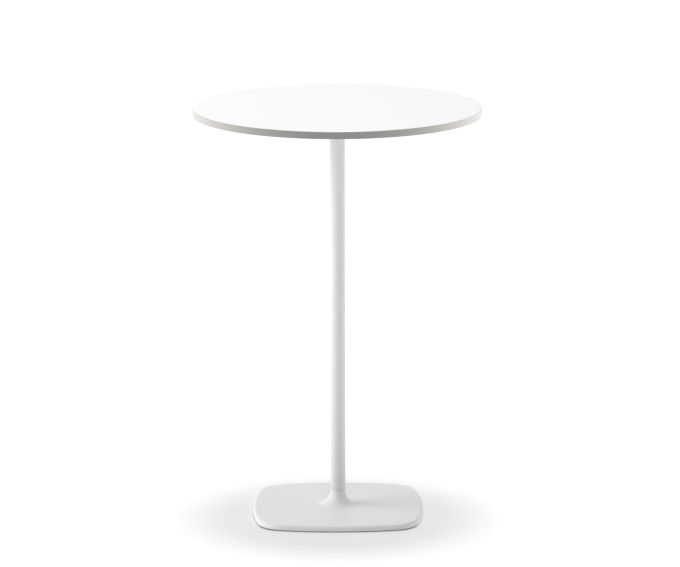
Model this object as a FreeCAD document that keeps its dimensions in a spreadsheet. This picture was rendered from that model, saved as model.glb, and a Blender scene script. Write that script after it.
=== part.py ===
"""Bar-height bistro table: round laminated top, cast spider, slim steel column and a cast-iron base.

Frame: millimetres, +Z up, origin on the floor under the middle of the column, -Y towards the front.
A tie rod clamps the spider, the column and the base together, and four screw feet level the table.
"""
import FreeCAD, Part

import math
import os

import Sketcher
from FreeCAD import Vector

SIZES = (
    # the tabletop
    ("table_height", 1100, "floor to the upper face of the top"),
    ("top_radius", 382.5, "outside of the edge profile"),
    ("core_thickness", 18, "wood-fibre board"),
    ("laminate_thickness", 0.6, "sheet on each face of the board"),
    ("edge_wall", 1.8, "visible wall of the edge profile"),
    ("edge_arris", 1.1, "rounding of the profile's two corners"),
    ("edge_joint_angle", 0.06, "butt joint between the profile's ends, in degrees"),
    ("tongue_length", 9, "tongue that holds the profile in the board"),
    ("tongue_thickness", 1.6, "between its barbs"),
    ("barb_height", 0.3, "each side of the tongue"),
    ("barb_length", 1.6, "slope of a barb along the tongue"),
    ("kerf_depth", 9.5, "groove round the board that takes the tongue"),
    ("kerf_width", 2.4, "groove round the board that takes the tongue"),
    # the spider under the top
    ("spider_reach", 185, "axis to the end of an arm"),
    ("spider_plate", 5, "thickness of the arms and of the middle disc"),
    ("spider_disc_radius", 58, "middle disc"),
    ("spider_depth", 38, "top face to the bottom of the collar"),
    ("spider_edge_chamfer", 1.2, "lower edges of the arms and disc"),
    ("collar_radius", 26, "collar round the head of the column"),
    ("collar_round", 2, "rounding of the collar's lower edge"),
    ("arm_root_width", 46, "arm at the axis"),
    ("arm_tip_width", 30, "arm at its round end"),
    ("rib_thickness", 4, "two ribs under each arm"),
    ("rib_clear", 9, "middle of the arm to a rib, past the screw heads"),
    ("rib_reach", 172, "axis to where the ribs run out"),
    ("rib_depth", 30, "top face to the ribs' foot at the collar"),
    ("screw_circle_near", 112, "inner screws from the axis"),
    ("screw_circle_far", 168, "outer screws from the axis"),
    ("screw_clearance_radius", 3.3, "screw holes in the arms"),
    ("nut_well_radius", 15, "recess for the rod's upper nut"),
    ("nut_well_depth", 12, "recess for the rod's upper nut"),
    ("socket_depth", 18, "how far the column enters the collar"),
    ("socket_gap", 0.1, "round the column in the collar"),
    ("set_screw_height", 9, "set screw above the collar's foot"),
    ("set_screw_radius", 3, "set screw and its hole"),
    ("set_screw_length", 5.5, "set screw"),
    ("set_screw_key_flats", 3, "its key size"),
    ("set_screw_key_depth", 2, "its key size"),
    # the column and its tie rod
    ("column_radius", 20, "outside of the tube"),
    ("column_wall", 2, "tube wall"),
    ("rod_radius", 4.95, "tie rod"),
    ("rod_chamfer", 1, "both ends of the tie rod"),
    ("rod_hole_radius", 5.5, "tie rod's holes in the castings"),
    ("rod_foot_height", 7, "floor to the rod's lower end"),
    ("rod_head_drop", 1, "rod's upper end below the board"),
    ("gasket_thickness", 0.8, "ring between the column and the hub"),
    ("gasket_inset", 0.5, "ring's edge inside the column's face"),
    # the base casting
    ("base_half_width", 228, "middle of a side from the axis"),
    ("base_side_radius", 800, "bow of each side, seen from above"),
    ("base_corner_radius", 80, "round corner between two sides"),
    ("base_gap", 3, "floor to the casting"),
    ("base_edge", 14, "height of the casting at its edge"),
    ("base_edge_round", 7, "rounding of the upper edge"),
    ("base_lower_round", 1.5, "rounding of the lower edge"),
    ("base_skin", 8, "thickness between the ribs"),
    ("base_rim", 12, "width of the rim under the edge"),
    ("hub_height", 41, "plate to the seat of the column"),
    ("hub_flare", 40, "round sweep from the hub into the plate"),
    ("spigot_radius", 17.8, "spigot that centres the column"),
    ("spigot_height", 25, "spigot above the seat"),
    ("spigot_lead", 1.5, "chamfer on top of the spigot"),
    ("clamp_well_radius", 30, "well for the lower nut and washers"),
    ("clamp_well_top", 25, "floor to the roof of that well"),
    ("clamp_wall_radius", 40, "wall round the well"),
    ("base_rib_thickness", 8, "ribs under the plate"),
    ("base_rib_drop", 4, "how far the ribs stand below the plate"),
    ("rib_overlap", 1, "how far ribs, walls and bosses run into the plate"),
    ("foot_offset", 150, "feet from the middle, both ways"),
    ("foot_boss_radius", 19, "boss over each foot"),
    ("foot_boss_gap", 0.05, "foot pad to its boss with the foot screwed home"),
    # screw feet
    ("pad_radius", 15, "foot pad"),
    ("pad_height", 4, "foot pad"),
    ("pad_floor", 1.2, "plastic under the stud's flange"),
    ("pad_round", 0.8, "rounding of the pad's lower edge"),
    ("grip_radius", 1.8, "finger grips round the pad"),
    ("stud_radius", 4, "threaded stud"),
    ("stud_rise", 9.5, "stud above the pad"),
    ("stud_chamfer", 0.8, "end of the stud"),
    ("stud_flange_flats", 13, "hexagon moulded into the pad"),
    ("stud_flange_thickness", 2, "hexagon moulded into the pad"),
    ("stud_hole_radius", 4.08, "stud's hole in the casting"),
    ("stud_hole_depth", 10.5, "stud's hole in the casting"),
    # fasteners
    ("nut_flats", 16, "rod nuts"),
    ("nut_height", 8, "rod nuts"),
    ("nut_bore_radius", 5, "rod nuts"),
    ("nut_face_radius", 7.6, "flat round face inside the corner chamfers"),
    ("rod_washer_radius", 10, "washer under the upper nut"),
    ("rod_washer_thickness", 2, "washer under the upper nut"),
    ("clamp_washer_radius", 26, "plate washer in the base"),
    ("clamp_washer_thickness", 4, "plate washer in the base"),
    ("lock_washer_radius", 9, "split washer in the base"),
    ("lock_washer_thickness", 2.5, "split washer in the base"),
    ("lock_washer_split", 2, "its gap"),
    ("screw_radius", 2.95, "top screws"),
    ("screw_length", 16, "under the head"),
    ("screw_point", 1, "chamfer at the screw's end"),
    ("screw_head_radius", 5.25, "top screws"),
    ("screw_head_height", 3.3, "top screws"),
    ("screw_key_flats", 4, "key size"),
    ("screw_key_depth", 2, "key size"),
    ("screw_washer_radius", 6, "washers under the screw heads"),
    ("screw_washer_bore", 3.2, "washers under the screw heads"),
    ("screw_washer_thickness", 1.6, "washers under the screw heads"),
    ("insert_radius", 4.5, "threaded insert in the board"),
    ("insert_bore_radius", 3, "threaded insert in the board"),
    ("insert_length", 13, "threaded insert in the board"),
    ("insert_hole_radius", 4.55, "hole for an insert"),
    ("insert_groove", 0.5, "depth and half width of its rings"),
)

# Heights and radii that several sub-parts share, as expressions on the sheet.
TOP_THICKNESS = "(Sizes.core_thickness + 2 * Sizes.laminate_thickness)"
UNDERSIDE = f"(Sizes.table_height - {TOP_THICKNESS})"
SHEET_RADIUS = "(Sizes.top_radius - Sizes.edge_wall)"
PLATE_TOP = "(Sizes.base_gap + Sizes.base_edge)"
SKIN_UNDER = f"({PLATE_TOP} - Sizes.base_skin)"
RIB_FOOT = f"({SKIN_UNDER} - Sizes.base_rib_drop)"
RIB_RISE = "(Sizes.base_rib_drop + Sizes.rib_overlap)"
HUB_TOP = f"({PLATE_TOP} + Sizes.hub_height)"
COLUMN_FOOT = f"({HUB_TOP} + Sizes.gasket_thickness)"
COLLAR_FOOT = f"({UNDERSIDE} - Sizes.spider_depth)"
COLUMN_HEAD = f"({COLLAR_FOOT} + Sizes.socket_depth)"
NUT_SEAT = f"({UNDERSIDE} - Sizes.nut_well_depth)"
SCREW_SEAT = f"({UNDERSIDE} - Sizes.spider_plate - Sizes.screw_washer_thickness)"
CLAMP_WASHER_FOOT = "(Sizes.clamp_well_top - Sizes.clamp_washer_thickness)"
LOCK_WASHER_FOOT = f"({CLAMP_WASHER_FOOT} - Sizes.lock_washer_thickness)"
BOSS_FACE = "(Sizes.pad_height + Sizes.foot_boss_gap)"

QUARTERS = 4
FOOT_GRIPS = 12
BARB_PLACES = (0.25, 0.5, 0.75)
INSERT_RING_PLACES = (0.2, 0.5, 0.8)
SCREW_CIRCLES = ("Sizes.screw_circle_near", "Sizes.screw_circle_far")
CORNERS = {
    "front_left": ("-Sizes.foot_offset", "-Sizes.foot_offset"),
    "front_right": ("Sizes.foot_offset", "-Sizes.foot_offset"),
    "back_left": ("-Sizes.foot_offset", "Sizes.foot_offset"),
    "back_right": ("Sizes.foot_offset", "Sizes.foot_offset"),
}
TOLERANCE = 1e-4

doc = FreeCAD.newDocument("bistro_table")
sheet = doc.addObject("Spreadsheet::Sheet", "Sizes")
for row, (alias, amount, meaning) in enumerate(SIZES, start=1):
    sheet.set(f"A{row}", alias)
    sheet.set(f"B{row}", str(amount))
    sheet.setAlias(f"B{row}", alias)
    sheet.set(f"C{row}", meaning)
doc.recompute()


# ---------------------------------------------------------------- sketches


def value(expression):
    """Number that an expression on the sheet gives now."""
    result = sheet.evalExpression(expression)
    return float(getattr(result, "Value", result))


def origin_feature(body, role):
    return next(feature for feature in body.Origin.OriginFeatures if feature.Role == role)


def new_body(label, height="0", x="0", y="0"):
    """Body whose own origin is put at (x, y, height) by its Placement."""
    body = doc.addObject("PartDesign::Body", label)
    body.Label = label
    for axis, expression in (("x", x), ("y", y), ("z", height)):
        if expression != "0":
            body.setExpression(f"Placement.Base.{axis}", expression)
    return body


def new_sketch(body, name, plane="XY_Plane", offset="0"):
    """Sketch on one of the body's origin planes, shifted along the plane's normal."""
    sketch = body.newObject("Sketcher::SketchObject", name)
    sketch.AttachmentSupport = [(origin_feature(body, plane), "")]
    sketch.MapMode = "FlatFace"
    if offset != "0":
        sketch.setExpression("AttachmentOffset.Base.z", offset)
    return sketch


def drive(sketch, kind, *where, by):
    """Dimension whose value comes from the sheet."""
    number = sketch.addConstraint(Sketcher.Constraint(kind, *where, value(by)))
    sketch.setExpression(f"Constraints[{number}]", by)


def pin_point(sketch, curve, end, x, y):
    """Fixes a point of a curve at (x, y) of the sketch, "0" meaning on the sketch's own axis."""
    for kind, distance, axis in (("DistanceX", x, -2), ("DistanceY", y, -1)):
        if distance == "0":
            sketch.addConstraint(Sketcher.Constraint("PointOnObject", curve, end, axis))
        else:
            drive(sketch, kind, -1, 1, curve, end, by=distance)


def add_circle(sketch, radius, x="0", y="0"):
    circle = Part.Circle(Vector(value(x), value(y), 0), Vector(0, 0, 1), value(radius))
    curve = sketch.addGeometry(circle)
    drive(sketch, "Radius", curve, by=radius)
    pin_point(sketch, curve, 3, x, y)


def add_outline(sketch, corners):
    """Closed polygon whose corners are pairs of expressions."""
    points = [Vector(value(x), value(y), 0) for x, y in corners]
    following = points[1:] + points[:1]
    lines = [sketch.addGeometry(Part.LineSegment(a, b)) for a, b in zip(points, following)]
    for here, after in zip(lines, lines[1:] + lines[:1]):
        sketch.addConstraint(Sketcher.Constraint("Coincident", here, 2, after, 1))
    for line, (x, y) in zip(lines, corners):
        pin_point(sketch, line, 1, x, y)


def add_box(sketch, left, right, low, high):
    add_outline(sketch, ((left, low), (right, low), (right, high), (left, high)))


def add_hexagon(sketch, flats):
    """Hexagon round the origin, with two of its corners on the sketch's X axis."""
    corner = f"{flats} / 2 / cos(30 deg)"
    half = f"{flats} / 4 / cos(30 deg)"
    flat = f"{flats} / 2"
    add_outline(sketch, ((corner, "0"), (half, flat), (f"-{half}", flat),
                         (f"-{corner}", "0"), (f"-{half}", f"-{flat}"), (half, f"-{flat}")))


def add_circle_pair(sketch, radius):
    """The two screw places of the arm along +X."""
    for distance in SCREW_CIRCLES:
        add_circle(sketch, radius, x=distance)


def add_base_outline(sketch, inset="0"):
    """Rounded square of four bowed sides and four tighter corners, each arc tangent to the next."""
    half_width = f"(Sizes.base_half_width - {inset})"
    side_radius = f"(Sizes.base_side_radius - {inset})"
    corner_radius = f"(Sizes.base_corner_radius - {inset})"
    side_centre = "(Sizes.base_side_radius - Sizes.base_half_width)"
    side_sweep = 15
    corner_place = 0.6 * value(half_width)
    up = Vector(0, 0, 1)
    arcs = []
    for quarter in range(QUARTERS):
        turned = FreeCAD.Rotation(up, 90 * quarter)
        for centre, radius, first, last in (
            (Vector(-value(side_centre), 0, 0), side_radius, -side_sweep, side_sweep),
            (Vector(corner_place, corner_place, 0), corner_radius, side_sweep, 90 - side_sweep),
        ):
            circle = Part.Circle(turned.multVec(centre), up, value(radius))
            start = math.radians(90 * quarter + first)
            end = math.radians(90 * quarter + last)
            arc = sketch.addGeometry(Part.ArcOfCircle(circle, start, end))
            drive(sketch, "Radius", arc, by=radius)
            arcs.append(arc)
    for here, after in zip(arcs, arcs[1:] + arcs[:1]):
        sketch.addConstraint(Sketcher.Constraint("Tangent", here, 2, after, 1))
    right, back, left, front = arcs[::2]
    pin_point(sketch, right, 3, f"-{side_centre}", "0")
    pin_point(sketch, back, 3, "0", f"-{side_centre}")
    pin_point(sketch, left, 3, side_centre, "0")
    pin_point(sketch, front, 3, "0", side_centre)


# ---------------------------------------------------------------- features


def extrude(body, kind, name, sketch, length, up):
    """Pad or Pocket towards the sketch's normal (up) or away from it.

    Left alone, a Pad runs along the normal and a Pocket against it.
    """
    feature = body.newObject(f"PartDesign::{kind}", name)
    feature.Profile = sketch
    feature.setExpression("Length", length)
    feature.Reversed = up != (kind == "Pad")
    return feature


def pad_up(body, name, sketch, length):
    return extrude(body, "Pad", name, sketch, length, up=True)


def pad_down(body, name, sketch, length):
    return extrude(body, "Pad", name, sketch, length, up=False)


def cut(body, name, sketch, length, up):
    """Pocket that must take material away."""
    doc.recompute()
    before = body.Shape.Volume
    feature = extrude(body, "Pocket", name, sketch, length, up)
    doc.recompute()
    if body.Shape.Volume > before - TOLERANCE:
        raise RuntimeError(f"{body.Label}: {name} cuts nothing")
    return feature


def cut_up(body, name, sketch, length):
    return cut(body, name, sketch, length, up=True)


def cut_down(body, name, sketch, length):
    return cut(body, name, sketch, length, up=False)


def turn(body, kind, name, sketch, angle="360"):
    """Revolution or Groove about the sketch's vertical axis."""
    feature = body.newObject(f"PartDesign::{kind}", name)
    feature.Profile = sketch
    feature.ReferenceAxis = (sketch, ["V_Axis"])
    feature.setExpression("Angle", angle)
    return feature


def repeat_round(body, name, features, times):
    """The same features, evenly spaced about the body's Z axis."""
    doc.recompute()
    pattern = body.newObject("PartDesign::PolarPattern", name)
    pattern.Originals = features
    pattern.Axis = (origin_feature(body, "Z_Axis"), [""])
    pattern.Angle = 360
    pattern.Occurrences = times
    body.Tip = pattern
    return pattern


def dress(body, kind, name, chosen, size):
    """Fillet or Chamfer on those edges of the body's tip that the test picks."""
    doc.recompute()
    tip = body.Tip
    names = [f"Edge{number}" for number, edge in enumerate(tip.Shape.Edges, start=1) if chosen(edge)]
    if not names:
        raise RuntimeError(f"{body.Label}: {name} finds no edge")
    feature = body.newObject(f"PartDesign::{kind}", name)
    feature.Base = (tip, names)
    feature.setExpression("Radius" if kind == "Fillet" else "Size", size)
    return feature


def is_level(edge, height):
    """Edge that lies flat at that height of its body."""
    box = edge.BoundBox
    return abs(box.ZMin - height) < TOLERANCE and abs(box.ZMax - height) < TOLERANCE


def is_circle(edge, radius):
    """Arc or whole circle of that radius."""
    return isinstance(edge.Curve, Part.Circle) and abs(edge.Curve.Radius - radius) < TOLERANCE


def distance_from_axis(edge):
    """How far the middle of the edge is from the body's Z axis."""
    middle = edge.valueAt((edge.FirstParameter + edge.LastParameter) / 2)
    return math.hypot(middle.x, middle.y)


def disc(label, radius, height, thickness, bore=None):
    """Plain round plate or ring."""
    body = new_body(label, height)
    face = new_sketch(body, "face")
    add_circle(face, radius)
    if bore:
        add_circle(face, bore)
    pad_up(body, "plate", face, thickness)
    return body


def at_screw_places(label, master, height):
    """One node of separate solids: a copy of the master at each screw place, its origin at that height."""
    doc.recompute()
    solids = []
    for quarter in range(QUARTERS):
        for distance in SCREW_CIRCLES:
            solid = master.Shape.copy()
            solid.translate(Vector(value(distance), 0, 0))
            solid.rotate(Vector(), Vector(0, 0, 1), 90 * quarter)
            solids.append(solid)
    group = doc.addObject("Part::Feature", label)
    group.Label = label
    group.Shape = Part.makeCompound(solids)
    group.Placement.Base = Vector(0, 0, value(height))
    return group


# ---------------------------------------------------------------- the tabletop


def tabletop_laminate():
    foot = "Sizes.table_height - Sizes.laminate_thickness"
    return disc("tabletop_laminate", SHEET_RADIUS, foot, "Sizes.laminate_thickness")


def tabletop_core():
    """Board with a saw kerf round its edge and eight blind holes for the inserts."""
    foot = f"{UNDERSIDE} + Sizes.laminate_thickness"
    body = disc("tabletop_core", SHEET_RADIUS, foot, "Sizes.core_thickness")
    kerf = new_sketch(body, "kerf_section", "XZ_Plane")
    add_box(kerf, f"{SHEET_RADIUS} - Sizes.kerf_depth", "Sizes.top_radius",
            "(Sizes.core_thickness - Sizes.kerf_width) / 2", "(Sizes.core_thickness + Sizes.kerf_width) / 2")
    turn(body, "Groove", "kerf", kerf)
    places = new_sketch(body, "hole_places")
    add_circle_pair(places, "Sizes.insert_hole_radius")
    pair = cut_up(body, "insert_holes", places, "Sizes.insert_length - Sizes.laminate_thickness")
    repeat_round(body, "all_insert_holes", [pair], QUARTERS)
    return body


def tabletop_backing():
    body = disc("tabletop_backing", SHEET_RADIUS, UNDERSIDE, "Sizes.laminate_thickness")
    places = new_sketch(body, "hole_places")
    add_circle_pair(places, "Sizes.insert_hole_radius")
    pair = cut_up(body, "insert_holes", places, "Sizes.laminate_thickness")
    repeat_round(body, "all_insert_holes", [pair], QUARTERS)
    return body


def tongue_side(sign):
    """Upper (+) or lower (-) side of the edge profile's tongue, from the wall to the tip."""
    middle = f"{TOP_THICKNESS} / 2"
    half = "Sizes.tongue_thickness / 2"
    points = [(SHEET_RADIUS, f"{middle} {sign} {half}")]
    for share in BARB_PLACES:
        radius = f"{SHEET_RADIUS} - {share} * Sizes.tongue_length"
        points += [(radius, f"{middle} {sign} {half}"),
                   (radius, f"{middle} {sign} ({half} + Sizes.barb_height)"),
                   (f"{radius} - Sizes.barb_length", f"{middle} {sign} {half}")]
    points.append((f"{SHEET_RADIUS} - Sizes.tongue_length", f"{middle} {sign} {half} / 2"))
    return points


def edge_profile():
    """Metal edge of T section bent into a ring: barbed tongue in the kerf, butt joint at the back."""
    body = new_body("edge_profile", UNDERSIDE)
    section = new_sketch(body, "section", "YZ_Plane")
    wall = [(SHEET_RADIUS, "0"), ("Sizes.top_radius", "0"),
            ("Sizes.top_radius", TOP_THICKNESS), (SHEET_RADIUS, TOP_THICKNESS)]
    add_outline(section, wall + tongue_side("+") + tongue_side("-")[::-1])
    turn(body, "Revolution", "ring", section, "360 - Sizes.edge_joint_angle")
    outside = value("Sizes.top_radius")
    dress(body, "Fillet", "arrises", lambda edge: is_circle(edge, outside), "Sizes.edge_arris")
    return body


def threaded_inserts():
    """Eight ringed sleeves in the board, flush with its underside."""
    master = new_body("insert_master")
    section = new_sketch(master, "section", "XZ_Plane")
    outline = [("Sizes.insert_bore_radius", "0"), ("Sizes.insert_radius", "0")]
    for share in INSERT_RING_PLACES:
        middle = f"{share} * Sizes.insert_length"
        outline += [("Sizes.insert_radius", f"{middle} - 2 * Sizes.insert_groove"),
                    ("Sizes.insert_radius - Sizes.insert_groove", middle),
                    ("Sizes.insert_radius", f"{middle} + 2 * Sizes.insert_groove")]
    outline.append(("Sizes.insert_radius", "Sizes.insert_length"))
    outline.append(("Sizes.insert_bore_radius", "Sizes.insert_length"))
    add_outline(section, outline)
    turn(master, "Revolution", "sleeve", section)
    return at_screw_places("threaded_inserts", master, UNDERSIDE)


# ---------------------------------------------------------------- the spider


def add_spider_rib(body, name, offset, pad):
    """Tapering rib under one edge of the arm along +X, from the collar outwards."""
    section = new_sketch(body, f"{name}_section", "XZ_Plane", offset)
    add_outline(section, (("Sizes.nut_well_radius", "-Sizes.spider_plate / 2"),
                          ("Sizes.rib_reach", "-Sizes.spider_plate / 2"),
                          ("Sizes.rib_reach", "-Sizes.spider_plate - Sizes.rib_overlap"),
                          ("Sizes.collar_radius", "-Sizes.rib_depth"),
                          ("Sizes.nut_well_radius", "-Sizes.rib_depth")))
    return pad(body, name, section, "Sizes.rib_thickness")


def top_spider():
    """Four-armed casting: arms against the board, twin ribs below, and a collar for the column's head."""
    body = new_body("top_spider", UNDERSIDE)
    middle = new_sketch(body, "disc_face")
    add_circle(middle, "Sizes.spider_disc_radius")
    pad_down(body, "disc", middle, "Sizes.spider_plate")
    arm = new_sketch(body, "arm_face")
    shoulder = "Sizes.spider_reach - Sizes.arm_tip_width / 2"
    add_outline(arm, (("0", "-Sizes.arm_root_width / 2"), (shoulder, "-Sizes.arm_tip_width / 2"),
                      (shoulder, "Sizes.arm_tip_width / 2"), ("0", "Sizes.arm_root_width / 2")))
    arm_pad = pad_down(body, "arm", arm, "Sizes.spider_plate")
    tip = new_sketch(body, "tip_face")
    add_circle(tip, "Sizes.arm_tip_width / 2", x=shoulder)
    tip_pad = pad_down(body, "tip", tip, "Sizes.spider_plate")
    repeat_round(body, "arms", [arm_pad, tip_pad], QUARTERS)
    plate_foot = -value("Sizes.spider_plate")
    dress(body, "Chamfer", "plate_edges", lambda edge: is_level(edge, plate_foot), "Sizes.spider_edge_chamfer")
    left = add_spider_rib(body, "left_rib", "-Sizes.rib_clear", pad_down)
    right = add_spider_rib(body, "right_rib", "Sizes.rib_clear", pad_up)
    repeat_round(body, "ribs", [left, right], QUARTERS)
    collar = new_sketch(body, "collar_face")
    add_circle(collar, "Sizes.collar_radius")
    pad_down(body, "collar", collar, "Sizes.spider_depth")
    collar_foot = -value("Sizes.spider_depth")
    dress(body, "Fillet", "collar_foot_round", lambda edge: is_level(edge, collar_foot), "Sizes.collar_round")
    socket = new_sketch(body, "socket_face", offset="-Sizes.spider_depth")
    add_circle(socket, "Sizes.column_radius + Sizes.socket_gap")
    cut_up(body, "socket", socket, "Sizes.socket_depth")
    well = new_sketch(body, "nut_well_face")
    add_circle(well, "Sizes.nut_well_radius")
    cut_down(body, "nut_well", well, "Sizes.nut_well_depth")
    rod = new_sketch(body, "rod_face")
    add_circle(rod, "Sizes.rod_hole_radius")
    cut_down(body, "rod_hole", rod, "Sizes.spider_depth")
    side = new_sketch(body, "set_screw_face", "XZ_Plane", offset="-Sizes.spider_disc_radius")
    add_circle(side, "Sizes.set_screw_radius", y="-Sizes.spider_depth + Sizes.set_screw_height")
    cut_up(body, "set_screw_hole", side, "Sizes.spider_disc_radius - Sizes.collar_radius / 2")
    places = new_sketch(body, "screw_places")
    add_circle_pair(places, "Sizes.screw_clearance_radius")
    pair = cut_down(body, "screw_holes", places, "Sizes.rib_depth")
    repeat_round(body, "all_screw_holes", [pair], QUARTERS)
    return body


def collar_set_screw():
    """Headless screw in the back of the collar, its end against the column."""
    height = f"{COLLAR_FOOT} + Sizes.set_screw_height"
    body = new_body("collar_set_screw", height, y="Sizes.column_radius")
    face = new_sketch(body, "end_face", "XZ_Plane")
    add_circle(face, "Sizes.set_screw_radius")
    pad_down(body, "shank", face, "Sizes.set_screw_length")
    key = new_sketch(body, "key_face", "XZ_Plane", offset="-Sizes.set_screw_length")
    add_hexagon(key, "Sizes.set_screw_key_flats")
    cut_up(body, "key", key, "Sizes.set_screw_key_depth")
    return body


def top_screws():
    """Eight button-head screws, heads down, through washers and arms into the inserts."""
    master = new_body("screw_master")
    section = new_sketch(master, "section", "XZ_Plane")
    add_outline(section, (("0", "-Sizes.screw_head_height"),
                          ("0.5 * Sizes.screw_head_radius", "-Sizes.screw_head_height"),
                          ("0.8 * Sizes.screw_head_radius", "-0.78 * Sizes.screw_head_height"),
                          ("Sizes.screw_head_radius", "-0.3 * Sizes.screw_head_height"),
                          ("Sizes.screw_head_radius", "0"),
                          ("Sizes.screw_radius", "0"),
                          ("Sizes.screw_radius", "Sizes.screw_length - Sizes.screw_point"),
                          ("Sizes.screw_radius - Sizes.screw_point", "Sizes.screw_length"),
                          ("0", "Sizes.screw_length")))
    turn(master, "Revolution", "blank", section)
    key = new_sketch(master, "key_face", offset="-Sizes.screw_head_height")
    add_hexagon(key, "Sizes.screw_key_flats")
    cut_up(master, "key", key, "Sizes.screw_key_depth")
    return at_screw_places("top_screws", master, SCREW_SEAT)


def top_screw_washers():
    master = disc("washer_master", "Sizes.screw_washer_radius", "0", "Sizes.screw_washer_thickness",
                  bore="Sizes.screw_washer_bore")
    return at_screw_places("top_screw_washers", master, SCREW_SEAT)


# ---------------------------------------------------------------- the column and its rod


def column_tube():
    return disc("column_tube", "Sizes.column_radius", COLUMN_FOOT, f"{COLUMN_HEAD} - {COLUMN_FOOT}",
                bore="Sizes.column_radius - Sizes.column_wall")


def column_gasket():
    outside = "Sizes.column_radius - Sizes.gasket_inset"
    return disc("column_gasket", outside, HUB_TOP, "Sizes.gasket_thickness",
                bore="Sizes.column_radius - Sizes.column_wall")


def tie_rod():
    length = f"{UNDERSIDE} - Sizes.rod_head_drop - Sizes.rod_foot_height"
    body = disc("tie_rod", "Sizes.rod_radius", "Sizes.rod_foot_height", length)
    radius = value("Sizes.rod_radius")
    dress(body, "Chamfer", "end_chamfers", lambda edge: is_circle(edge, radius), "Sizes.rod_chamfer")
    return body


def rod_nut(label, height):
    """Hexagon nut with both faces chamfered at the corners."""
    body = new_body(label, height)
    face = new_sketch(body, "face")
    add_hexagon(face, "Sizes.nut_flats")
    add_circle(face, "Sizes.nut_bore_radius")
    pad_up(body, "hexagon", face, "Sizes.nut_height")
    outside = "Sizes.nut_flats"
    slope = f"({outside} - Sizes.nut_face_radius) * tan(30 deg)"
    upper = new_sketch(body, "upper_corner_section", "XZ_Plane")
    add_outline(upper, (("Sizes.nut_face_radius", "Sizes.nut_height"),
                        (outside, f"Sizes.nut_height - {slope}"),
                        (outside, "Sizes.nut_height")))
    turn(body, "Groove", "upper_chamfer", upper)
    lower = new_sketch(body, "lower_corner_section", "XZ_Plane")
    add_outline(lower, (("Sizes.nut_face_radius", "0"), (outside, "0"), (outside, slope)))
    turn(body, "Groove", "lower_chamfer", lower)
    return body


def rod_top_washer():
    return disc("rod_top_washer", "Sizes.rod_washer_radius", NUT_SEAT, "Sizes.rod_washer_thickness",
                bore="Sizes.rod_hole_radius")


def rod_top_nut():
    return rod_nut("rod_top_nut", f"{NUT_SEAT} + Sizes.rod_washer_thickness")


def base_clamp_washer():
    return disc("base_clamp_washer", "Sizes.clamp_washer_radius", CLAMP_WASHER_FOOT,
                "Sizes.clamp_washer_thickness", bore="Sizes.rod_hole_radius")


def base_lock_washer():
    """Split spring washer, squeezed flat."""
    body = disc("base_lock_washer", "Sizes.lock_washer_radius", LOCK_WASHER_FOOT,
                "Sizes.lock_washer_thickness", bore="Sizes.rod_hole_radius")
    split = new_sketch(body, "split_face")
    half = "Sizes.lock_washer_split / 2"
    add_box(split, f"-{half}", half, "-Sizes.lock_washer_radius", "0")
    cut_up(body, "split", split, "Sizes.lock_washer_thickness")
    return body


def base_nut():
    return rod_nut("base_nut", f"{LOCK_WASHER_FOOT} - Sizes.nut_height")


# ---------------------------------------------------------------- the base


def add_plate_and_hub(body):
    """Bowed square plate with round edges, the trumpet hub and the spigot on it."""
    plate = new_sketch(body, "plate_face", offset="Sizes.base_gap")
    add_base_outline(plate)
    pad_up(body, "plate", plate, "Sizes.base_edge")
    hub = new_sketch(body, "hub_face", offset=PLATE_TOP)
    add_circle(hub, "Sizes.column_radius")
    pad_up(body, "hub", hub, "Sizes.hub_height")
    plate_top = value(PLATE_TOP)
    plate_foot = value("Sizes.base_gap")
    hub_reach = value("Sizes.column_radius + Sizes.hub_flare")

    def at_hub(edge):
        return is_level(edge, plate_top) and distance_from_axis(edge) < hub_reach

    def at_rim(edge, height):
        return is_level(edge, height) and distance_from_axis(edge) > hub_reach

    dress(body, "Fillet", "trumpet", at_hub, "Sizes.hub_flare")
    dress(body, "Fillet", "upper_edge", lambda edge: at_rim(edge, plate_top), "Sizes.base_edge_round")
    dress(body, "Fillet", "lower_edge", lambda edge: at_rim(edge, plate_foot), "Sizes.base_lower_round")
    spigot = new_sketch(body, "spigot_face", offset=HUB_TOP)
    add_circle(spigot, "Sizes.spigot_radius")
    pad_up(body, "spigot", spigot, "Sizes.spigot_height")
    spigot_top = value(f"{HUB_TOP} + Sizes.spigot_height")
    dress(body, "Chamfer", "spigot_lead", lambda edge: is_level(edge, spigot_top), "Sizes.spigot_lead")


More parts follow.
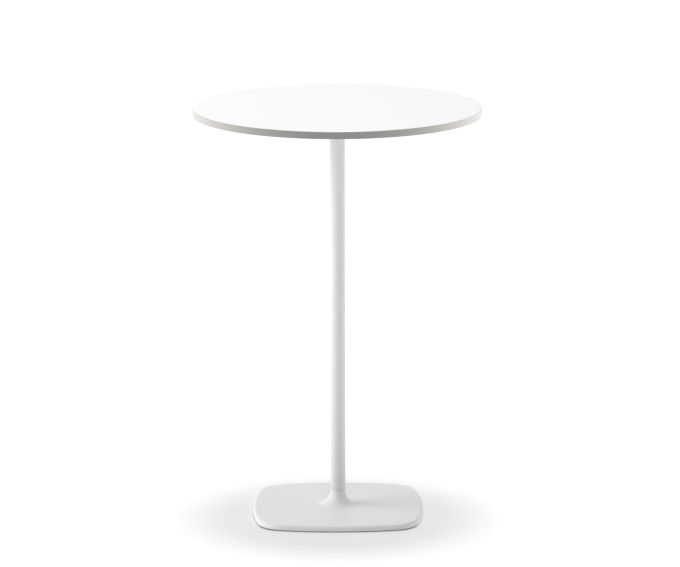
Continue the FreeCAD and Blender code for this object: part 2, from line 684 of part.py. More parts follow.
def add_ribs_and_bosses(body):
    """Wall round the clamp well, eight ribs and four foot bosses, all standing down from the plate."""
    wall = new_sketch(body, "well_wall_face", offset=RIB_FOOT)
    add_circle(wall, "Sizes.clamp_wall_radius")
    pad_up(body, "well_wall", wall, RIB_RISE)
    side = new_sketch(body, "side_rib_face", offset=RIB_FOOT)
    half = "Sizes.base_rib_thickness / 2"
    add_box(side, "Sizes.clamp_well_radius", "Sizes.base_half_width - Sizes.base_rim / 2", f"-{half}", half)
    side_rib = pad_up(body, "side_rib", side, RIB_RISE)
    repeat_round(body, "side_ribs", [side_rib], QUARTERS)
    diagonal = new_sketch(body, "diagonal_rib_face", offset=RIB_FOOT)
    near = "Sizes.clamp_well_radius * sin(45 deg)"
    far = "Sizes.foot_offset"
    aside = f"{half} * sin(45 deg)"
    add_outline(diagonal, ((f"{near} + {aside}", f"{near} - {aside}"),
                           (f"{far} + {aside}", f"{far} - {aside}"),
                           (f"{far} - {aside}", f"{far} + {aside}"),
                           (f"{near} - {aside}", f"{near} + {aside}")))
    diagonal_rib = pad_up(body, "diagonal_rib", diagonal, RIB_RISE)
    repeat_round(body, "diagonal_ribs", [diagonal_rib], QUARTERS)
    boss = new_sketch(body, "foot_boss_face", offset=BOSS_FACE)
    add_circle(boss, "Sizes.foot_boss_radius", "Sizes.foot_offset", "Sizes.foot_offset")
    foot_boss = pad_up(body, "foot_boss", boss, f"{SKIN_UNDER} - {BOSS_FACE} + Sizes.rib_overlap")
    repeat_round(body, "foot_bosses", [foot_boss], QUARTERS)


def base_casting():
    """Bowed square plate with a trumpet hub and a spigot, ribbed and hollow below, with four foot bosses."""
    body = new_body("base_casting")
    add_plate_and_hub(body)
    hollow = new_sketch(body, "hollow_face", offset="Sizes.base_gap")
    add_base_outline(hollow, inset="Sizes.base_rim")
    cut_up(body, "hollow", hollow, "Sizes.base_edge - Sizes.base_skin")
    add_ribs_and_bosses(body)
    well = new_sketch(body, "well_face", offset="Sizes.base_gap")
    add_circle(well, "Sizes.clamp_well_radius")
    cut_up(body, "well", well, "Sizes.clamp_well_top - Sizes.base_gap")
    rod = new_sketch(body, "rod_face", offset="Sizes.base_gap")
    add_circle(rod, "Sizes.rod_hole_radius")
    cut_up(body, "rod_hole", rod, f"{HUB_TOP} + Sizes.spigot_height")
    hole = new_sketch(body, "stud_hole_face", offset=BOSS_FACE)
    add_circle(hole, "Sizes.stud_hole_radius", "Sizes.foot_offset", "Sizes.foot_offset")
    stud_hole = cut_up(body, "stud_hole", hole, "Sizes.stud_hole_depth")
    repeat_round(body, "stud_holes", [stud_hole], QUARTERS)
    return body


# ---------------------------------------------------------------- the feet


def foot_pad(corner):
    """Plastic pad with finger grips, moulded round the stud's flange."""
    x, y = CORNERS[corner]
    body = new_body(f"foot_{corner}_pad", x=x, y=y)
    face = new_sketch(body, "face")
    add_circle(face, "Sizes.pad_radius")
    pad_up(body, "plate", face, "Sizes.pad_height")
    dress(body, "Fillet", "lower_edge", lambda edge: is_level(edge, 0), "Sizes.pad_round")
    grip = new_sketch(body, "grip_face")
    add_circle(grip, "Sizes.grip_radius", x="Sizes.pad_radius + Sizes.grip_radius / 2")
    grip_cut = cut_up(body, "grip", grip, "Sizes.pad_height")
    repeat_round(body, "grips", [grip_cut], FOOT_GRIPS)
    flange = new_sketch(body, "flange_face", offset="Sizes.pad_floor")
    add_hexagon(flange, "Sizes.stud_flange_flats")
    cut_up(body, "flange_space", flange, "Sizes.stud_flange_thickness")
    hole = new_sketch(body, "stud_face", offset="Sizes.pad_floor")
    add_circle(hole, "Sizes.stud_radius")
    cut_up(body, "stud_space", hole, "Sizes.pad_height")
    return body


def foot_stud(corner):
    """Threaded stud with the hexagon flange that the pad is moulded round."""
    x, y = CORNERS[corner]
    body = new_body(f"foot_{corner}_stud", "Sizes.pad_floor", x, y)
    flange = new_sketch(body, "flange_face")
    add_hexagon(flange, "Sizes.stud_flange_flats")
    pad_up(body, "flange", flange, "Sizes.stud_flange_thickness")
    shank = new_sketch(body, "shank_face")
    add_circle(shank, "Sizes.stud_radius")
    length = "Sizes.pad_height - Sizes.pad_floor + Sizes.stud_rise"
    pad_up(body, "shank", shank, length)
    stud_end = value(length)
    dress(body, "Chamfer", "end_chamfer", lambda edge: is_level(edge, stud_end), "Sizes.stud_chamfer")
    return body


# ---------------------------------------------------------------- check and export


def check_document():
    doc.recompute()
    for thing in doc.Objects:
        if any(word in thing.State for word in ("Invalid", "Error")):
            raise RuntimeError(f"{thing.Name} ({thing.Label}) is {thing.State}")


def export(sub_parts):
    for part in sub_parts:
        if part.Shape.isNull() or not part.Shape.isValid():
            raise RuntimeError(f"{part.Label} has no valid shape")
    os.makedirs("parts", exist_ok=True)
    for part in sub_parts:
        part.Shape.exportStep(f"parts/{part.Label}.step")
        print(f"{part.Label}: {len(part.Shape.Solids)} solid(s), {part.Shape.Volume / 1000:.2f} cm3")


table = [
    tabletop_laminate(), tabletop_core(), tabletop_backing(), edge_profile(), threaded_inserts(),
    top_spider(), collar_set_screw(), top_screws(), top_screw_washers(),
    rod_top_nut(), rod_top_washer(), tie_rod(), column_tube(), column_gasket(),
    base_casting(), base_clamp_washer(), base_lock_washer(), base_nut(),
]
for corner_name in CORNERS:
    table += [foot_pad(corner_name), foot_stud(corner_name)]
check_document()
export(table)
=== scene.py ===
"""Visual finish of the bistro table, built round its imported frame.

Makes the turned and threaded pieces, gives every piece its material, and sets up the studio.
"""
import math

import bmesh
import bpy
from mathutils import Matrix, Vector


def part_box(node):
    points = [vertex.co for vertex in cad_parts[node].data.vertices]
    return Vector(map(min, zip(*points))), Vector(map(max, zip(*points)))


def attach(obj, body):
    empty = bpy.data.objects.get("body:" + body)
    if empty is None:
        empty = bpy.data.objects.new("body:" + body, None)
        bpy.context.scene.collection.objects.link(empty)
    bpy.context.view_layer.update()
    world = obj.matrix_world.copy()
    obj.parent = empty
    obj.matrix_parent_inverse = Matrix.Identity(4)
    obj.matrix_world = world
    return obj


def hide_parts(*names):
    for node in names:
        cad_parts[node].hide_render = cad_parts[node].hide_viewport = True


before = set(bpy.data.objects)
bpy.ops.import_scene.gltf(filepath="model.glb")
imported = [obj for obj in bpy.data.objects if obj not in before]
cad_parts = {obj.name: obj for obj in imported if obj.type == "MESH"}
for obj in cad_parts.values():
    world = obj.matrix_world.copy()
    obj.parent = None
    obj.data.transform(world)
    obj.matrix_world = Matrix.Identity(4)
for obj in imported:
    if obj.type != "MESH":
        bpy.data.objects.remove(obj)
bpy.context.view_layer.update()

MM = 0.001

# turned pieces
ROUND = 384                 # steps round the laminate
COLUMN_STEPS = 128
COLUMN_WALL = 2 * MM
BURR = 0.35 * MM            # deburred edges of the column tube
SHEET_EASE = 0.15 * MM      # filed edge of the laminate
EASE_MIDDLE = 0.3           # middle of a rounded edge, in from both faces, as a share of its radius
SHEET_RINGS = (0.98, 0.75, 0.5, 0.25)       # loops on the laminate's upper face, as shares of its radius

# threads
THREAD_STEPS = 40
THREAD_ROWS = 10            # levels in one pitch
THREAD_DEPTH = 0.58         # share of the pitch
THREAD_ROOT = 0.2           # flat at the bottom of the groove, share of the pitch
ROD_PITCH = 1.5 * MM
ROD_CHAMFER = 1 * MM
ROD_LOWER_THREAD = 30 * MM
ROD_UPPER_THREAD = 45 * MM
FOOT_PITCH = 1.25 * MM
FOOT_THREAD_RADIUS = 4 * MM
FOOT_THREAD_CHAMFER = 0.8 * MM
FLANGE_SIDES = 6
FLANGE_THICKNESS = 2 * MM

# shared effects: where each of the two masks starts and where it is full
CONVEX_EDGE = (0.52, 0.6)   # of pointiness
WORN_PATCH = (0.5, 0.62)    # of the noise

# edges that stay sharp under smooth shading turn by more than this many degrees
SHARP_TURN = 35
SHARP_THREAD_TURN = 60

CORNERS = ("front_left", "front_right", "back_left", "back_right")
ZINC_NODES = ("collar_set_screw", "top_screws", "top_screw_washers", "rod_top_nut", "rod_top_washer",
              "tie_rod", "base_clamp_washer", "base_lock_washer", "base_nut")

# camera
LENS_MM = 213.1
SENSOR_MM = 36
CAMERA_BACK = 10.476
CAMERA_HEIGHT = 2.871
CAMERA_PITCH = math.radians(12.107)
CAMERA_YAW = 0.0006
CAMERA_ROLL = -0.0018
CAMERA_CLIP_END = 200

# floor
FLOOR_SIZE = 60
FLOOR_COLOUR = (0.86, 0.86, 0.86, 1)
FLOOR_GLOW = 0.335          # near the table
FLOOR_GLOW_FAR = 0.50       # several metres away
GLOW_RISE = (0.3, 3)        # metres from the table's axis between the two
GLOW_EDGE = (-0.007, 0.004)     # metres past the base's outline between no glow and all of it; cutting the glow under the base is painted shade
BASE_SIDE_CENTRE = 0.572    # a bowed side of the base is an arc whose centre lies this far past the axis
BASE_SIDE_RADIUS = 0.8
BASE_CORNER_REACH = 0.274   # from the axis to a corner

# room
ROOM_FRONT = 0.22
ROOM_BACK = 0.95
ROOM_ABOVE = 0.50
LOW_FRONT = 0.345           # below the horizon, where only gloss sees the room
LOW_BACK = 1.2
ROOM_CURVE = 1.3            # above 1, the dim front reaches further round
HORIZON_BLUR = 0.06
CEILING_START = 0.3         # height of the direction at which the level above begins to show

# lights
KEY_PLACE = (-4.1, -0.5, 2.9)
KEY_SIZE = 3.6
KEY_POWER = 86
# name, direction it comes from, spread in degrees, strength, shown in gloss, falls on the floor
SUNS = (
    ("overhead", (0, 0.07, 1), 12, 0.88, True, True),
    ("low_key", (-0.9, -0.1, 0.3), 60, 0.98, False, False),
    ("side", (0.97, 0.15, 0.3), 55, 0.48, False, False),
)


# ---------------------------------------------------------------- node helpers


class Graph:
    """Short way to add and join the nodes of one tree."""

    def __init__(self, tree):
        self.tree = tree
        for node in list(tree.nodes):
            tree.nodes.remove(node)
        self.output = None

    def add(self, kind, **settings):
        """Node with its properties and inputs set by name; From_Min stands for the input "From Min"."""
        node = self.tree.nodes.new(kind)
        for name, setting in settings.items():
            if name in node.bl_rna.properties:
                setattr(node, name, setting)
        for name, setting in settings.items():
            if name not in node.bl_rna.properties:
                self.feed(node.inputs[name.replace("_", " ")], setting)
        return node

    def feed(self, socket, setting):
        """Links another node's output to the socket, or sets the socket's own value."""
        if isinstance(setting, bpy.types.NodeSocket):
            self.tree.links.new(setting, socket)
        else:
            socket.default_value = setting

    def link(self, source, socket):
        self.tree.links.new(source, socket)

    def place(self):
        """The shaded point in the piece's own coordinates, in metres."""
        return self.add("ShaderNodeTexCoord").outputs["Object"]

    def math(self, operation, *values):
        node = self.tree.nodes.new("ShaderNodeMath")
        node.operation = operation
        for socket, setting in zip(node.inputs, values):
            self.feed(socket, setting)
        return node.outputs[0]

    def length(self, x, y):
        """Length of a level vector."""
        node = self.tree.nodes.new("ShaderNodeVectorMath")
        node.operation = "LENGTH"
        self.link(self.add("ShaderNodeCombineXYZ", X=x, Y=y).outputs[0], node.inputs[0])
        return node.outputs["Value"]

    def ramp(self, value, start, end, low=0, high=1, kind="LINEAR"):
        """Goes from low to high while the value goes from start to end."""
        node = self.add("ShaderNodeMapRange", interpolation_type=kind, Value=value,
                        From_Min=start, From_Max=end, To_Min=low, To_Max=high)
        return node.outputs["Result"]

    def noise(self, place, scale, detail, roughness=0.5):
        node = self.add("ShaderNodeTexNoise", Vector=place, Scale=scale, Detail=detail, Roughness=roughness)
        return node.outputs["Fac"]

    def mix_value(self, factor, low, high):
        """Mixes two numbers, which the node takes at inputs 2 and 3."""
        node = self.add("ShaderNodeMix", Factor=factor)
        self.feed(node.inputs[2], low)
        self.feed(node.inputs[3], high)
        return node.outputs[0]

    def mix_colour(self, factor, low, high):
        """Mixes two colours, which the node takes at inputs 6 and 7 and gives at output 2."""
        node = self.add("ShaderNodeMix", data_type="RGBA", Factor=factor)
        self.feed(node.inputs[6], low)
        self.feed(node.inputs[7], high)
        return node.outputs[2]


def new_material(name):
    material = bpy.data.materials.new(name)
    material.use_nodes = True
    graph = Graph(material.node_tree)
    graph.output = graph.add("ShaderNodeOutputMaterial")
    return material, graph


def new_group(name, inputs, outputs):
    """Empty node group with named inputs (socket type, name, default) and outputs (socket type, name)."""
    tree = bpy.data.node_groups.new(name, "ShaderNodeTree")
    for kind, socket_name, default in inputs:
        socket = tree.interface.new_socket(socket_name, in_out="INPUT", socket_type=kind)
        socket.default_value = default
    for kind, socket_name in outputs:
        tree.interface.new_socket(socket_name, in_out="OUTPUT", socket_type=kind)
    graph = Graph(tree)
    graph.inputs = graph.add("NodeGroupInput")
    graph.outputs = graph.add("NodeGroupOutput")
    return tree, graph


def use_group(graph, tree, **settings):
    node = graph.tree.nodes.new("ShaderNodeGroup")
    node.node_tree = tree
    for name, setting in settings.items():
        graph.feed(node.inputs[name.replace("_", " ")], setting)
    return node


# ---------------------------------------------------------------- camera and studio


def make_camera():
    """Long lens, a little above the tabletop, looking along +Y and down."""
    data = bpy.data.cameras.new("camera")
    data.lens = LENS_MM
    data.sensor_width = SENSOR_MM
    data.clip_end = CAMERA_CLIP_END
    camera = bpy.data.objects.new("camera", data)
    bpy.context.scene.collection.objects.link(camera)
    ahead = Vector((math.sin(CAMERA_YAW) * math.cos(CAMERA_PITCH),
                    math.cos(CAMERA_YAW) * math.cos(CAMERA_PITCH),
                    -math.sin(CAMERA_PITCH)))
    right = ahead.cross(Vector((0, 0, 1))).normalized()
    up = right.cross(ahead)
    turned = Matrix((right, up, -ahead)).transposed().to_4x4()
    camera.matrix_world = (Matrix.Translation((0, -CAMERA_BACK, CAMERA_HEIGHT))
                           @ turned @ Matrix.Rotation(CAMERA_ROLL, 4, "Z"))
    bpy.context.scene.camera = camera


def add_light(kind, name, towards, strength, in_gloss):
    """Light whose local +Z points back at where the light comes from."""
    data = bpy.data.lights.new(name, kind)
    data.energy = strength
    light = bpy.data.objects.new(name, data)
    bpy.context.scene.collection.objects.link(light)
    light.rotation_euler = Vector(towards).to_track_quat("Z", "Y").to_euler()
    light.visible_glossy = in_gloss
    return light


def make_lights(floor):
    """A broad key near the left, and distant soft lights from above, low left and right.

    The key and the two low lights are kept off the floor, so that the table has one soft even shadow.
    """
    kept_off = bpy.data.collections.new("kept_off_the_floor")
    kept_off.objects.link(floor)
    kept_off.collection_objects[0].light_linking.link_state = "EXCLUDE"
    key = add_light("AREA", "key", KEY_PLACE, KEY_POWER, False)
    key.data.shape = "DISK"
    key.data.size = KEY_SIZE
    key.location = KEY_PLACE
    key.visible_camera = False
    key.light_linking.receiver_collection = kept_off
    for name, towards, spread, strength, in_gloss, on_floor in SUNS:
        sun = add_light("SUN", name, towards, strength, in_gloss)
        sun.data.angle = math.radians(spread)
        if not on_floor:
            sun.light_linking.receiver_collection = kept_off


def make_world():
    """Soft white room, dim in front of the table and bright behind it; the lens sees plain white."""
    world = bpy.data.worlds.new("studio")
    bpy.context.scene.world = world
    world.use_nodes = True
    graph = Graph(world.node_tree)
    direction = graph.add("ShaderNodeTexCoord").outputs["Generated"]
    parts = graph.add("ShaderNodeSeparateXYZ", Vector=direction)
    behind = graph.math("POWER", graph.math("MULTIPLY_ADD", parts.outputs["Y"], 0.5, 0.5), ROOM_CURVE)
    low = graph.mix_value(behind, LOW_FRONT, LOW_BACK)
    high = graph.mix_value(behind, ROOM_FRONT, ROOM_BACK)
    above_horizon = graph.ramp(parts.outputs["Z"], -HORIZON_BLUR, HORIZON_BLUR, kind="SMOOTHSTEP")
    overhead = graph.ramp(parts.outputs["Z"], CEILING_START, 1, kind="SMOOTHSTEP")
    room = graph.mix_value(overhead, graph.mix_value(above_horizon, low, high), ROOM_ABOVE)
    seen_by_lens = graph.add("ShaderNodeLightPath").outputs["Is Camera Ray"]
    strength = graph.mix_value(seen_by_lens, room, 1.0)
    shader = graph.add("ShaderNodeBackground", Color=(1, 1, 1, 1), Strength=strength)
    graph.add("ShaderNodeOutputWorld", Surface=shader.outputs[0])


def past_base(graph, x, y):
    """Metres from the base's outline to a place on the floor, negative under the base.

    The place is given by its distances from the two middle planes of the table.
    """
    past_sides = []
    for along, across in ((x, y), (y, x)):
        from_centre = graph.length(along, graph.math("ADD", across, BASE_SIDE_CENTRE))
        past_sides.append(graph.math("SUBTRACT", from_centre, BASE_SIDE_RADIUS))
    past_corner = graph.math("SUBTRACT", graph.length(x, y), BASE_CORNER_REACH)
    return graph.math("MAXIMUM", graph.math("MAXIMUM", *past_sides), past_corner)


def floor_white():
    """Matt white that glows a little, more far away, and not at all under the base, where the missing glow
    is painted shade.
    """
    material, graph = new_material("floor_white")
    parts = graph.add("ShaderNodeSeparateXYZ", Vector=graph.place())
    x = graph.math("ABSOLUTE", parts.outputs["X"])
    y = graph.math("ABSOLUTE", parts.outputs["Y"])
    glow = graph.ramp(graph.length(x, y), *GLOW_RISE, FLOOR_GLOW, FLOOR_GLOW_FAR, "SMOOTHSTEP")
    # painted shade: the glow is cut under the base so that a dark line shows beneath it
    glow_outside_painted_shade = graph.ramp(past_base(graph, x, y), *GLOW_EDGE)
    light = graph.add("ShaderNodeEmission", Color=(1, 1, 1, 1),
                      Strength=graph.math("MULTIPLY", glow, glow_outside_painted_shade))
    matt = graph.add("ShaderNodeBsdfDiffuse", Color=FLOOR_COLOUR)
    both = graph.add("ShaderNodeAddShader")
    graph.link(matt.outputs[0], both.inputs[0])
    graph.link(light.outputs[0], both.inputs[1])
    graph.link(both.outputs[0], graph.output.inputs["Surface"])
    return material


def make_floor():
    """Plain floor that keeps only soft shadows and doesn't show in gloss."""
    half = FLOOR_SIZE / 2
    corners = ((-half, -half, 0), (half, -half, 0), (half, half, 0), (-half, half, 0))
    mesh = bpy.data.meshes.new("floor")
    mesh.from_pydata(corners, [], [(0, 1, 2, 3)])
    mesh.materials.append(floor_white())
    floor = bpy.data.objects.new("floor", mesh)
    bpy.context.scene.collection.objects.link(floor)
    floor.visible_glossy = False
    return floor


def make_studio():
    make_camera()
    make_world()
    make_lights(make_floor())
    bpy.context.scene.view_settings.view_transform = "Standard"


# ---------------------------------------------------------------- effects shared by several materials


def make_fine_skin():
    """Fine relief with slow drifts of colour and gloss.

    Serves sprayed powder, pressed laminate, moulded plastic and plated or turned metal.
    """
    tree, graph = new_group(
        "fine_skin",
        [("NodeSocketColor", "Colour", (0.8, 0.8, 0.8, 1)), ("NodeSocketFloat", "Grain size mm", 1.0),
         ("NodeSocketFloat", "Gloss", 0.4), ("NodeSocketFloat", "Gloss drift", 0.05),
         ("NodeSocketFloat", "Tone drift", 0.02)],
        [("NodeSocketColor", "Colour"), ("NodeSocketFloat", "Roughness"), ("NodeSocketFloat", "Height")])
    given = graph.inputs.outputs
    place = graph.place()
    per_metre = graph.math("DIVIDE", 1000, given["Grain size mm"])
    grain = graph.noise(place, scale=per_metre, detail=2)
    drift = graph.noise(place, scale=7, detail=4, roughness=0.55)
    swing = graph.math("SUBTRACT", drift, 0.5)
    roughness = graph.math("MULTIPLY_ADD", swing, given["Gloss drift"], given["Gloss"])
    darker = graph.math("MULTIPLY", graph.math("ABSOLUTE", swing), given["Tone drift"])
    tone = graph.add("ShaderNodeHueSaturation", Color=given["Colour"],
                     Value=graph.math("SUBTRACT", 1, darker))
    graph.link(tone.outputs[0], graph.outputs.inputs["Colour"])
    graph.link(roughness, graph.outputs.inputs["Roughness"])
    graph.link(grain, graph.outputs.inputs["Height"])
    return tree


def make_drawn_grain():
    """Fine scratches that run round the table's axis, as on a drawn or turned metal."""
    tree, graph = new_group(
        "drawn_grain",
        [("NodeSocketFloat", "Across per metre", 9000.0), ("NodeSocketFloat", "Along per metre", 30.0)],
        [("NodeSocketFloat", "Streaks"), ("NodeSocketFloat", "Height")])
    given = graph.inputs.outputs
    parts = graph.add("ShaderNodeSeparateXYZ", Vector=graph.place())
    around = graph.math("ARCTAN2", parts.outputs["X"], parts.outputs["Y"])
    radius = graph.length(parts.outputs["X"], parts.outputs["Y"])
    along = graph.math("MULTIPLY", around, given["Along per metre"])
    up = graph.math("MULTIPLY", parts.outputs["Z"], given["Across per metre"])
    out = graph.math("MULTIPLY", radius, given["Across per metre"])
    stretched = graph.add("ShaderNodeCombineXYZ", X=along, Y=out, Z=up)
    streaks = graph.noise(stretched.outputs[0], scale=1, detail=3, roughness=0.6)
    graph.link(streaks, graph.outputs.inputs["Streaks"])
    graph.link(streaks, graph.outputs.inputs["Height"])
    return tree


def make_rubbed_edges():
    """Mask of convex edges, broken up by noise, where handling rubs a finish."""
    tree, graph = new_group(
        "rubbed_edges",
        [("NodeSocketFloat", "Amount", 0.5), ("NodeSocketFloat", "Patch per metre", 60.0)],
        [("NodeSocketFloat", "Mask")])
    given = graph.inputs.outputs
    convex = graph.ramp(graph.add("ShaderNodeNewGeometry").outputs["Pointiness"], *CONVEX_EDGE)
    patches = graph.noise(graph.place(), scale=given["Patch per metre"], detail=5, roughness=0.65)
    both = graph.math("MULTIPLY", convex, graph.ramp(patches, *WORN_PATCH))
    graph.link(graph.math("MULTIPLY", both, given["Amount"]), graph.outputs.inputs["Mask"])
    return tree


# ---------------------------------------------------------------- materials


def finish_surface(graph, height, bump_mm, **settings):
    """Principled shader with a bump of a real height in millimetres."""
    bump = graph.add("ShaderNodeBump", Height=height, Distance=bump_mm * MM, Strength=1)
    shader = graph.add("ShaderNodeBsdfPrincipled", Normal=bump.outputs["Normal"], **settings)
    graph.link(shader.outputs[0], graph.output.inputs["Surface"])


def even_finish(name, skin_settings, bump_mm, **settings):
    """Material with one fine skin all over."""
    material, graph = new_material(name)
    skin = use_group(graph, fine_skin, **skin_settings)
    finish_surface(graph, skin.outputs["Height"], bump_mm, Base_Color=skin.outputs["Colour"],
                   Roughness=skin.outputs["Roughness"], **settings)
    return material


def laminate_white():
    """Pressed high-pressure laminate with a fine satin texture."""
    skin = {"Colour": (0.875, 0.875, 0.89, 1), "Grain_size_mm": 0.7, "Gloss": 0.3,
            "Gloss_drift": 0.12, "Tone_drift": 0.03}
    return even_finish("laminate_white", skin, bump_mm=0.004, IOR=1.5)


def laminate_backing():
    """Plain off-white laminate under the board."""
    skin = {"Colour": (0.70, 0.70, 0.69, 1), "Grain_size_mm": 1.6, "Gloss": 0.55,
            "Gloss_drift": 0.15, "Tone_drift": 0.12}
    return even_finish("laminate_backing", skin, bump_mm=0.01, IOR=1.5)


def turned_brass():
    skin = {"Colour": (0.72, 0.53, 0.24, 1), "Grain_size_mm": 0.4, "Gloss": 0.3,
            "Gloss_drift": 0.15, "Tone_drift": 0.25}
    return even_finish("turned_brass", skin, bump_mm=0.01, Metallic=1)


def grey_gasket():
    """Matt grey rubber."""
    skin = {"Colour": (0.55, 0.55, 0.55, 1), "Grain_size_mm": 0.6, "Gloss": 0.75,
            "Gloss_drift": 0.1, "Tone_drift": 0.1}
    return even_finish("grey_gasket", skin, bump_mm=0.03, IOR=1.45)


def coat_white(name, tone, grain_mm, bump_mm, gloss):
    """White powder coat with its orange-peel skin, a little rubbed on its edges; its tone also carries
    painted light or shade where copies differ.
    """
    worn = (0.62, 0.61, 0.59, 1)
    material, graph = new_material(name)
    skin = use_group(graph, fine_skin, Colour=(tone, tone, tone, 1), Grain_size_mm=grain_mm, Gloss=gloss,
                     Gloss_drift=0.1, Tone_drift=0.05)
    rubbed = use_group(graph, rubbed_edges, Amount=0.25)
    colour = graph.mix_colour(rubbed.outputs["Mask"], skin.outputs["Colour"], worn)
    finish_surface(graph, skin.outputs["Height"], bump_mm, Base_Color=colour,
                   Roughness=skin.outputs["Roughness"], IOR=1.5)
    return material


def edge_metal():
    """Satin anodised aluminium, drawn lengthwise."""
    streak = (0.57, 0.55, 0.52, 1)
    material, graph = new_material("edge_metal")
    grain = use_group(graph, drawn_grain)
    skin = use_group(graph, fine_skin, Colour=(0.855, 0.83, 0.79, 1), Grain_size_mm=3, Gloss=0.36,
                     Gloss_drift=0.06, Tone_drift=0.04)
    streak_share = 0.16
    share = graph.math("MULTIPLY", grain.outputs["Streaks"], streak_share)
    colour = graph.mix_colour(share, skin.outputs["Colour"], streak)
    finish_surface(graph, grain.outputs["Height"], 0.006, Base_Color=colour,
                   Roughness=skin.outputs["Roughness"], Metallic=1)
    return material


def zinc_steel():
    """Bright zinc plate: bluish steel with faint yellow clouds."""
    yellow = (0.60, 0.58, 0.50, 1)
    material, graph = new_material("zinc_steel")
    skin = use_group(graph, fine_skin, Colour=(0.62, 0.63, 0.66, 1), Grain_size_mm=0.5, Gloss=0.33,
                     Gloss_drift=0.2, Tone_drift=0.3)
    clouds = graph.noise(graph.place(), scale=90, detail=2)
    colour = graph.mix_colour(clouds, skin.outputs["Colour"], yellow)
    finish_surface(graph, skin.outputs["Height"], 0.01, Base_Color=colour,
                   Roughness=skin.outputs["Roughness"], Metallic=1)
    return material


def foot_nylon():
    """Dark moulded nylon, scuffed on its edges."""
    scuffed = (0.10, 0.10, 0.10, 1)
    material, graph = new_material("foot_nylon")
    skin = use_group(graph, fine_skin, Colour=(0.025, 0.025, 0.028, 1), Grain_size_mm=0.35, Gloss=0.55,
                     Gloss_drift=0.2, Tone_drift=0.4)
    rubbed = use_group(graph, rubbed_edges, Amount=0.5, Patch_per_metre=300)
    colour = graph.mix_colour(rubbed.outputs["Mask"], skin.outputs["Colour"], scuffed)
    finish_surface(graph, skin.outputs["Height"], 0.03, Base_Color=colour,
                   Roughness=skin.outputs["Roughness"], IOR=1.5)
    return material


def fibre_board():
    """Pressed wood fibre with darker flecks."""
    fleck = (0.25, 0.16, 0.09, 1)
    material, graph = new_material("fibre_board")
    cells = graph.add("ShaderNodeTexVoronoi", Vector=graph.place(), Scale=900)
    skin = use_group(graph, fine_skin, Colour=(0.48, 0.34, 0.2, 1), Grain_size_mm=0.5, Gloss=0.85,
                     Gloss_drift=0.1, Tone_drift=0.4)
    fleck_share = 0.5
    share = graph.math("MULTIPLY", cells.outputs["Distance"], fleck_share)
    colour = graph.mix_colour(share, skin.outputs["Colour"], fleck)
    finish_surface(graph, skin.outputs["Height"], 0.1, Base_Color=colour,
                   Roughness=skin.outputs["Roughness"], IOR=1.4)
    return material


# ---------------------------------------------------------------- mesh helpers


def give_material(node, material):
    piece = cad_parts[node]
    for place in piece.material_slots:
        place.material = material


def add_piece(name, build, material, body, stands_for):
    """Links a finished bmesh as a piece that rides on a body in place of a CAD node."""
    mesh = bpy.data.meshes.new(name)
    bmesh.ops.recalc_face_normals(build, faces=build.faces)
    build.to_mesh(mesh)
    build.free()
    mesh.materials.append(material)
    piece = bpy.data.objects.new(name, mesh)
    bpy.context.scene.collection.objects.link(piece)
    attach(piece, body)
    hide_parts(stands_for)
    return piece


def shade_by_angle(piece, degrees=SHARP_TURN):
    """Smooth shading that keeps real corners sharp."""
    mesh = piece.data
    mesh.shade_smooth()
    mesh.set_sharp_from_angle(angle=math.radians(degrees))


def low_and_high(node):
    low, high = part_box(node)
    return low[2], high[2]


def outer_radius(node):
    low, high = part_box(node)
    return (high[0] - low[0]) / 2


def level_loop(build, reaches, z, centre=(0, 0), start=0):
    """Loop of vertices at one height, spread evenly round the centre, each at its own reach."""
    loop = []
    for i, reach in enumerate(reaches):
        angle = start + 2 * math.pi * (i / len(reaches))
        x = centre[0] + reach * math.cos(angle)
        y = centre[1] + reach * math.sin(angle)
        loop.append(build.verts.new((x, y, z)))
    return loop


def join_loops(build, loops, closed=False):
    """Quads between neighbouring loops of vertices, each loop closed on itself."""
    pairs = list(zip(loops, loops[1:]))
    if closed:
        pairs.append((loops[-1], loops[0]))
    for here, after in pairs:
        for k in range(len(here)):
            following = (k + 1) % len(here)
            build.faces.new((here[k], after[k], after[following], here[following]))


def turn_section(build, section, steps, closed=False):
    """Surface turned round the table's axis from points of (radius, height); gives back its loops."""
    loops = [level_loop(build, [radius] * steps, z) for radius, z in section]
    join_loops(build, loops, closed)
    return loops


def close_ends(build, loops):
    """Flat faces over the lowest and the highest loop."""
    build.faces.new(loops[0][::-1])
    build.faces.new(loops[-1])


def groove_share(turn):
    """Depth of the groove, 0 at the crest and 1 along the root, at a share of the pitch."""
    from_root_middle = abs(turn - 0.5)
    flank = 0.5 - THREAD_ROOT / 2
    return min(1, (0.5 - from_root_middle) / flank)


def thread_loops(build, radius, pitch, foot, head, centre=(0, 0), chamfers=(0, 0)):
    """Loops of a screw thread from foot to head, its crests cut back by the chamfers at the two ends."""
    levels = round((head - foot) / pitch * THREAD_ROWS)
    loops = []
    for i in range(levels + 1):
        z = foot + (head - foot) * i / levels
        limit = radius
        if chamfers[0]:
            limit = min(limit, radius - chamfers[0] + (z - foot))
        if chamfers[1]:
            limit = min(limit, radius - chamfers[1] + (head - z))
        reaches = []
        for k in range(THREAD_STEPS):
            turn = (z / pitch - k / THREAD_STEPS) % 1
            reaches.append(min(limit, radius - pitch * THREAD_DEPTH * groove_share(turn)))
        loops.append(level_loop(build, reaches, z, centre))
    return loops


# ---------------------------------------------------------------- pieces


def make_laminate_sheet(material):
    """The working surface: a thin disc with a filed upper edge against the metal."""
    low, high = low_and_high("tabletop_laminate")
    radius = outer_radius("tabletop_laminate")
    middle = SHEET_EASE * EASE_MIDDLE
    section = [(radius, low), (radius, high - SHEET_EASE),
               (radius - middle, high - middle), (radius - SHEET_EASE, high)]
    section += [(radius * share, high) for share in SHEET_RINGS]
    build = bmesh.new()
    close_ends(build, turn_section(build, section, ROUND))
    sheet = add_piece("laminate_sheet", build, material, "table", "tabletop_laminate")
    shade_by_angle(sheet)


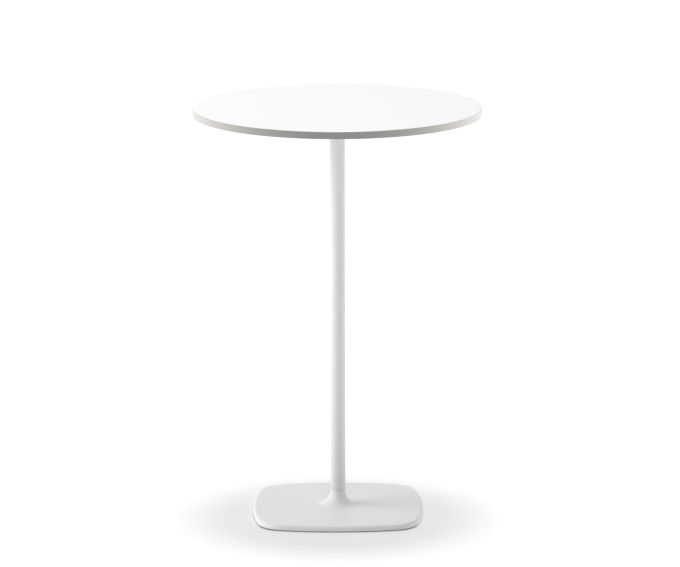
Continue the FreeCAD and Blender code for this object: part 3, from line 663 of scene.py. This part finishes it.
def make_column_post(material):
    """Tube with deburred ends, so that a fine line shows where it meets the hub and the collar."""
    low, high = low_and_high("column_tube")
    outer = outer_radius("column_tube")
    inner = outer - COLUMN_WALL
    middle = BURR * EASE_MIDDLE
    section = [(inner, low + BURR), (inner + BURR, low),
               (outer - BURR, low), (outer - middle, low + middle), (outer, low + BURR),
               (outer, high - BURR), (outer - middle, high - middle), (outer - BURR, high),
               (inner + BURR, high), (inner, high - BURR)]
    build = bmesh.new()
    turn_section(build, section, COLUMN_STEPS, closed=True)
    post = add_piece("column_post", build, material, "table", "column_tube")
    shade_by_angle(post)


def make_threaded_rod(material):
    """Tie rod: plain in the middle, threaded where its nuts run."""
    low, high = low_and_high("tie_rod")
    radius = outer_radius("tie_rod")
    lower_end = low + ROD_LOWER_THREAD
    upper_end = high - ROD_UPPER_THREAD
    build = bmesh.new()
    lower = thread_loops(build, radius, ROD_PITCH, low, lower_end, chamfers=(ROD_CHAMFER, 0))
    upper = thread_loops(build, radius, ROD_PITCH, upper_end, high, chamfers=(0, ROD_CHAMFER))
    shank = [level_loop(build, [radius] * THREAD_STEPS, z)
             for z in (lower_end + ROD_PITCH, upper_end - ROD_PITCH)]
    loops = lower + shank + upper
    join_loops(build, loops)
    close_ends(build, loops)
    rod = add_piece("threaded_rod", build, material, "table", "tie_rod")
    shade_by_angle(rod, SHARP_THREAD_TURN)


def make_foot_thread(corner, material):
    """Foot stud: the hexagon flange held in the pad, and the thread that climbs into the casting."""
    node = f"foot_{corner}_stud"
    low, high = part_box(node)
    centre = ((low[0] + high[0]) / 2, (low[1] + high[1]) / 2)
    half_x = (high[0] - low[0]) / 2
    half_y = (high[1] - low[1]) / 2
    flange_top = low[2] + FLANGE_THICKNESS
    corners_along_y = half_y > half_x
    start = math.pi / FLANGE_SIDES if corners_along_y else 0
    reaches = [max(half_x, half_y)] * FLANGE_SIDES
    build = bmesh.new()
    flange = [level_loop(build, reaches, z, centre, start) for z in (low[2], flange_top)]
    thread = thread_loops(build, FOOT_THREAD_RADIUS, FOOT_PITCH, flange_top, high[2], centre,
                          chamfers=(0, FOOT_THREAD_CHAMFER))
    for loops in (flange, thread):
        join_loops(build, loops)
        close_ends(build, loops)
    stud = add_piece(f"foot_{corner}_thread", build, material, f"foot_{corner}", node)
    shade_by_angle(stud, SHARP_THREAD_TURN)


# ---------------------------------------------------------------- the table


fine_skin = make_fine_skin()
drawn_grain = make_drawn_grain()
rubbed_edges = make_rubbed_edges()
make_studio()

laminate = laminate_white()
# the same white powder coat, given a darker tone on the tube as painted shade and a lighter tone on the
# base as painted light
tube_coat_painted_shade = coat_white("tube_coat_painted_shade", tone=0.79, grain_mm=1.2, bump_mm=0.012, gloss=0.42)
base_coat_painted_light = coat_white("base_coat_painted_light", tone=0.83, grain_mm=1.4, bump_mm=0.02, gloss=0.42)
cast_coat = coat_white("cast_coat", tone=0.80, grain_mm=2.4, bump_mm=0.12, gloss=0.5)
zinc = zinc_steel()
nylon = foot_nylon()

make_laminate_sheet(laminate)
make_column_post(tube_coat_painted_shade)
make_threaded_rod(zinc)
for corner in CORNERS:
    make_foot_thread(corner, zinc)

# every node of the frame gets its finish, even where one of the pieces above stands in for it
finishes = {
    "tabletop_laminate": laminate,
    "tabletop_backing": laminate_backing(),
    "tabletop_core": fibre_board(),
    "edge_profile": edge_metal(),
    "threaded_inserts": turned_brass(),
    "column_gasket": grey_gasket(),
    "column_tube": tube_coat_painted_shade,
    "base_casting": base_coat_painted_light,
    "top_spider": cast_coat,
}
for node, material in finishes.items():
    give_material(node, material)
for node in ZINC_NODES:
    give_material(node, zinc)
for corner in CORNERS:
    give_material(f"foot_{corner}_pad", nylon)
    give_material(f"foot_{corner}_stud", zinc)
